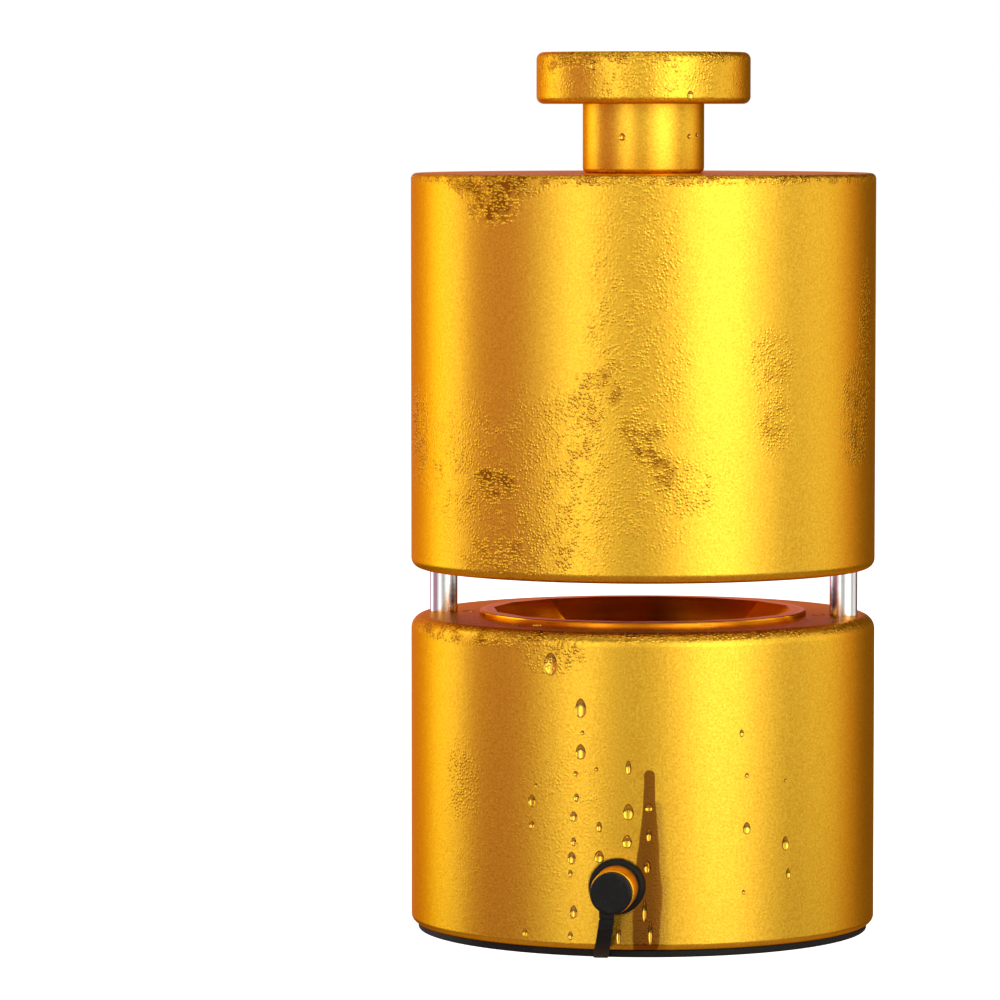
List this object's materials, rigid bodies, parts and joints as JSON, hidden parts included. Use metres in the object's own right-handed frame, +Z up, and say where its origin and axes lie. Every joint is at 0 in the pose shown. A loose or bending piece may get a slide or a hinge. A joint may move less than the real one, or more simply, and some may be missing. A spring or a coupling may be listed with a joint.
{
  "type": "ice ball press",
  "caption": "Gravity ice press: a heavy head on two guide pins, a gem-shaped mould in two inserts, a melt water tank in the base and a plugged front spout.",
  "frame": {"origin": "centre of the flat underside of the rubber base pad, on the axis of the head's travel", "axes": "+Z up along the axis of both bodies, -Y out through the drain spout at the front, the guide pins at -X and +X"},
  "size_m": [0.1, 0.1126, 0.1889],
  "materials": {
    "gold_anodised": "fine bead-blasted gold anodising, satin",
    "gold_inner": "turned and milled gold anodising, smoother than the outside",
    "bright_steel": "ground and polished stainless steel",
    "bronze": "turned bearing bronze",
    "black_rubber": "matt moulded rubber"
  },
  "bodies": {
    "base": {"base_pad": "black_rubber", "tank_floor": "gold_inner", "tank_gasket": "black_rubber", "floor_screws": "bright_steel", "lower_body": "gold_anodised", "pavilion_mould": "gold_inner", "mould_seal": "black_rubber", "pavilion_dowel": "bright_steel", "mould_screws": "bright_steel", "guide_pin_left": "bright_steel", "guide_pin_right": "bright_steel", "spout_ring": "black_rubber", "drain_spout": "gold_inner", "plug_strap": "black_rubber"},
    "head": {"head_body": "gold_anodised", "crown_mould": "gold_inner", "crown_dowel": "bright_steel", "draw_stud": "bright_steel", "guide_bush_left": "bronze", "guide_bush_right": "bronze", "knob": "gold_anodised"},
    "plug": {"drain_plug": "black_rubber"}
  },
  "joints": [
    {"name": "head_slide", "type": "slide", "parent": "base", "child": "head", "axis": [0, 0, 1], "range_m": [-0.0092, 0.075]},
    {"name": "plug_pull", "type": "slide", "parent": "base", "child": "plug", "axis": [0, -1, 0], "range_m": [0, 0.008], "deforming": ["plug_strap"]}
  ]
}
